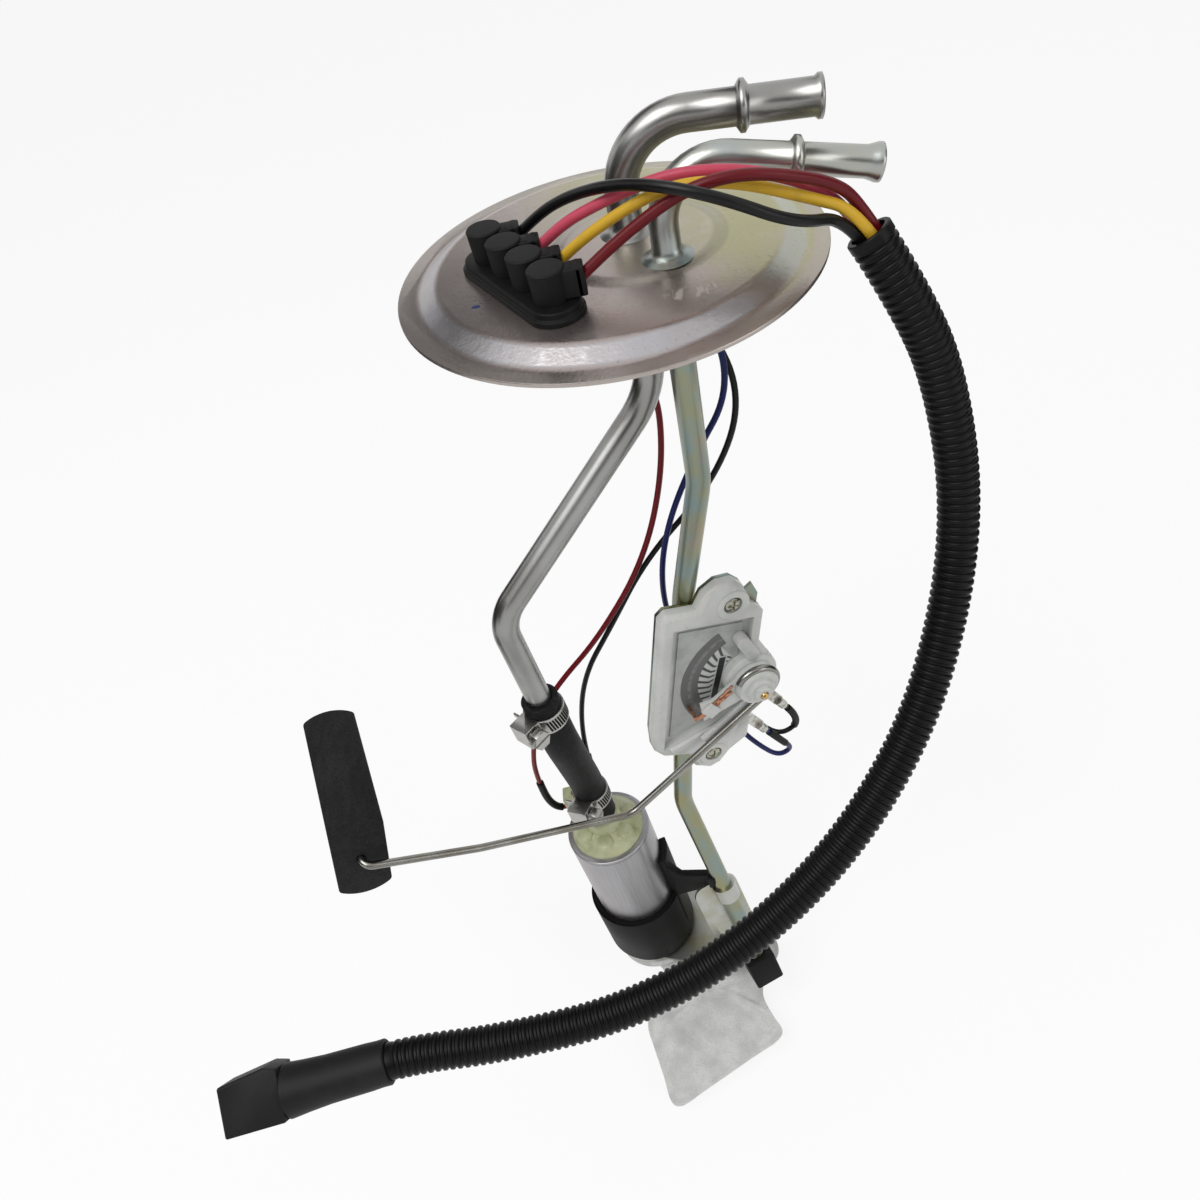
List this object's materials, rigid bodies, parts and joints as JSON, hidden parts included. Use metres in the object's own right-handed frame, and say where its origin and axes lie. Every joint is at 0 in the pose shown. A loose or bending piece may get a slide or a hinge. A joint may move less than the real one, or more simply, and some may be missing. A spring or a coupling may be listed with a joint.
{
  "type": "in-tank fuel pump",
  "caption": "Round tank flange with bent fuel tubes, a hung electric pump and felt strainer, a float level sender and a corrugated wiring harness ending in a plug.",
  "frame": {"origin": "centre of the flange on its seat plane, the underside of the rim", "axes": "+Z out of the tank along the flange axis, +X the way the nozzles point, the float reaches out along -X"},
  "size_m": [0.2712, 0.2117, 0.4146],
  "materials": {
    "zinc_plate": "rainbow zinc passivate over pressed steel",
    "tube_steel": "satin drawn steel",
    "yellow_zinc": "yellow passivated steel",
    "black_plastic": "matte moulded plastic",
    "black_rubber": "matte moulded rubber",
    "wire_black": "semi-gloss wire insulation",
    "wire_pink": "semi-gloss wire insulation",
    "wire_yellow": "semi-gloss wire insulation",
    "wire_red": "semi-gloss wire insulation",
    "wire_blue": "semi-gloss wire insulation",
    "loom_plastic": "corrugated black loom",
    "brass": "bright stamped brass",
    "tin": "tinned stamped metal",
    "white_nylon": "satin moulded nylon",
    "card_white": "printed ceramic card",
    "carbon_ink": "dark resistor ink",
    "copper": "copper alloy spring strip",
    "bright_steel": "bright drawn wire",
    "screw_steel": "plated screw",
    "foam_black": "closed-cell foam",
    "can_steel": "satin drawn can",
    "cap_plastic": "greenish moulded end cap",
    "copper_laminate": "laminated core",
    "ferrite": "ferrite magnet",
    "carbon": "carbon brush",
    "felt": "felted filter cloth",
    "neck_plastic": "moulded filter neck"
  },
  "bodies": {
    "hanger": {"flange_plate": "zinc_plate", "supply_tube": "tube_steel", "return_tube": "yellow_zinc", "terminal_base": "black_plastic", "loom": "loom_plastic", "plug_boot": "black_rubber", "plug_body": "black_plastic", "sender_plate": "yellow_zinc", "sender_body": "white_nylon", "sender_card": "card_white", "sender_resistor": "carbon_ink", "sender_pin": "brass", "sender_screw_upper": "screw_steel", "sender_screw_lower": "screw_steel", "sender_tab_one": "tin", "sender_tab_two": "tin", "pump_can": "can_steel", "pump_cap": "cap_plastic", "pump_terminal_pos": "tin", "pump_terminal_neg": "tin", "magnet_ring": "ferrite", "brush_1": "carbon", "brush_2": "carbon", "pump_chamber": "black_plastic", "pump_inlet": "cap_plastic", "pump_holder": "black_rubber", "foot_bracket": "yellow_zinc", "strainer_neck": "neck_plastic", "strainer_sock": "felt", "tube_end_cap": "black_rubber", "hose": "black_rubber", "clamp_upper_band": "tin", "clamp_upper_screw": "screw_steel", "clamp_lower_band": "tin", "clamp_lower_screw": "screw_steel", "tank_lead_red": "wire_red", "tank_lead_black": "wire_black", "tank_lead_blue": "wire_blue", "ground_lead": "wire_black", "lead_black": "wire_black", "lead_pink": "wire_pink", "lead_yellow": "wire_yellow", "lead_red": "wire_red", "terminal_boot_1": "black_rubber", "plug_contact_1": "tin", "terminal_boot_2": "black_rubber", "plug_contact_2": "tin", "terminal_boot_3": "black_rubber", "plug_contact_3": "tin", "terminal_boot_4": "black_rubber", "plug_contact_4": "tin"},
    "float_swing": {"sender_hub": "white_nylon", "wiper_contact": "copper", "float_arm": "bright_steel", "float": "foam_black"},
    "rotor": {"armature_shaft": "bright_steel", "armature_core": "copper_laminate", "impeller": "black_plastic"},
    "valve_ball": {"check_ball": "bright_steel"}
  },
  "joints": [
    {"name": "float_swing", "type": "hinge", "parent": "hanger", "child": "float_swing", "pos_m": [0.02496, -0.01795, -0.16883], "axis": [-0.29, 0.957, 0], "range_deg": [0, 60]},
    {"name": "rotor_spin", "type": "hinge", "parent": "hanger", "child": "rotor", "pos_m": [-0.04368, -0.01698, -0.30085], "axis": [-0.083, 0.0244, 0.9962], "continuous": true},
    {"name": "valve_lift", "type": "slide", "parent": "hanger", "child": "valve_ball", "axis": [-0.083, 0.0244, 0.9962], "range_m": [0, 0.0025]}
  ]
}
